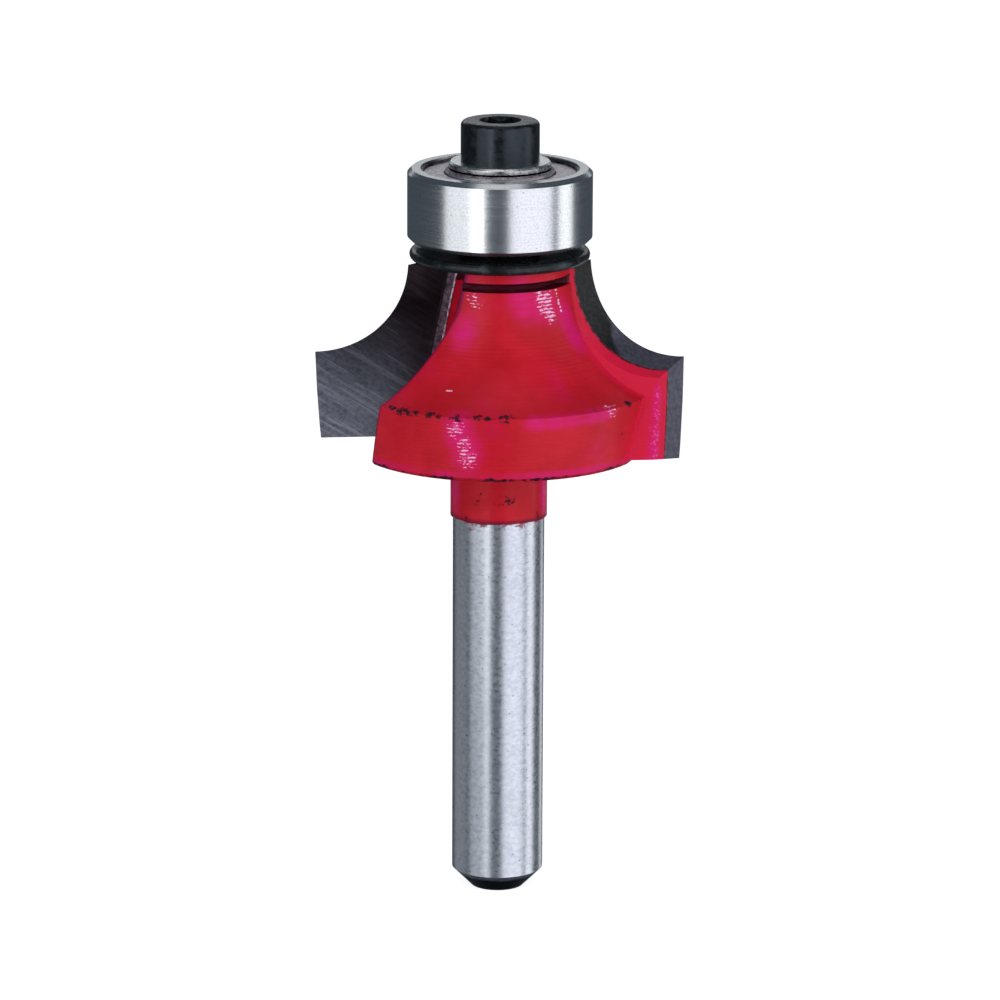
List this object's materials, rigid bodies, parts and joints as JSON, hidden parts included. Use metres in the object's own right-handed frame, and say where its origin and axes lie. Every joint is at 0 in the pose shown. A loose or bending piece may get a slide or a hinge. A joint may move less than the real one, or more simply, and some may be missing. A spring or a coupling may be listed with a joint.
{
  "type": "router bit",
  "caption": "Rounding-over router bit with a painted two-wing cutter body, brazed carbide tips, a straight shank and a shielded ball bearing pilot held by a socket screw.",
  "frame": {"origin": "on the spindle axis at the free end of the shank", "axes": "+Z along the spindle axis from the shank to the screw; X across the two wings as they stand in the picture, -Y towards the viewer"},
  "size_m": [0.0254, 0.0212, 0.0545],
  "materials": {
    "body_paint": "red gloss paint over turned steel, bare ground steel on the shank",
    "carbide": "diamond-ground carbide",
    "braze": "silver braze, matt",
    "washer_black": "black gloss",
    "race_steel": "ground bearing steel",
    "cage_steel": "pressed sheet",
    "shield_steel": "matt pressed sheet",
    "snap_steel": "spring steel",
    "clamp_steel": "bright plated",
    "screw_black": "black oxide",
    "ball_steel": "polished"
  },
  "bodies": {
    "tool": {"tool_body": "body_paint", "carbide_right": "carbide", "carbide_left": "carbide", "braze_right": "braze", "braze_left": "braze", "dust_washer": "washer_black", "inner_race": "race_steel", "clamp_washer": "clamp_steel", "socket_screw": "screw_black"},
    "outer_ring": {"outer_race": "race_steel", "shield_upper": "shield_steel", "shield_lower": "shield_steel", "snap_ring_upper": "snap_steel", "snap_ring_lower": "snap_steel"},
    "ball_set": {"cage_upper": "cage_steel", "cage_lower": "cage_steel", "cage_rivets": "cage_steel", "ball_1": "ball_steel", "ball_2": "ball_steel", "ball_3": "ball_steel", "ball_4": "ball_steel", "ball_5": "ball_steel", "ball_6": "ball_steel", "ball_7": "ball_steel"}
  },
  "joints": [
    {"name": "bearing_spin", "type": "hinge", "parent": "tool", "child": "outer_ring", "pos_m": [0, 0, 0.04869], "axis": [0, 0, 1], "continuous": true},
    {"name": "cage_spin", "type": "hinge", "parent": "tool", "child": "ball_set", "pos_m": [0, 0, 0.04869], "axis": [0, 0, 1], "continuous": true}
  ],
  "couplings": [
    {"joint": "cage_spin", "follows": "bearing_spin", "ratio": 0.6364}
  ]
}
